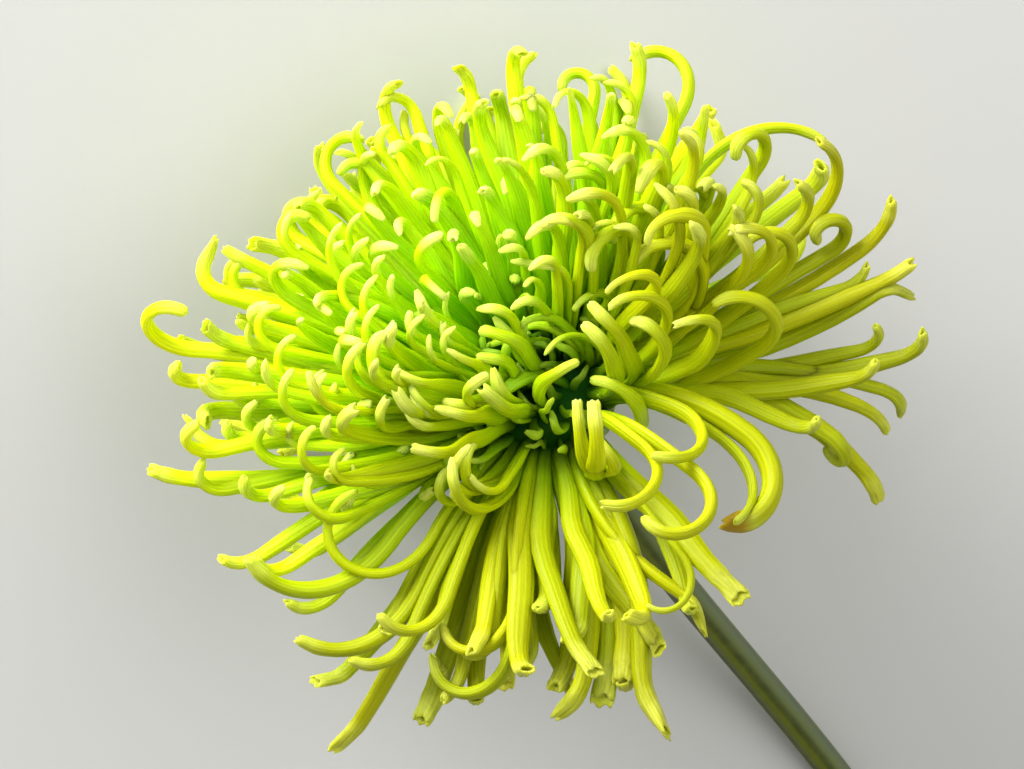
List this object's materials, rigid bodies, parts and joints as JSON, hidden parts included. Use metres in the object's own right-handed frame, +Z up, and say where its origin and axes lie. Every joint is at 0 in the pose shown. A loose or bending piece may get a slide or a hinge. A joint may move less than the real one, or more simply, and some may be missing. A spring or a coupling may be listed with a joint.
{
  "type": "disbud chrysanthemum",
  "caption": "Large quilled chrysanthemum head with curled ray florets on a cup of green bracts and a cut ribbed stem, lying on a surface.",
  "frame": {"origin": "centre of the whole flower's box, on the surface that it lies on", "axes": "+X along the flower from the head to the cut end of the stem, +Z up from the surface"},
  "size_m": [0.1752, 0.1292, 0.0912],
  "materials": {
    "floret": "matte, slightly translucent, green at the root and yellow-green at the tip",
    "bract": "matte green with paler dry edges",
    "stem": "satin olive green with fine hairs"
  },
  "bodies": {
    "root": {"bloom": "floret", "involucre": "bract", "stem": "stem"}
  },
  "joints": []
}
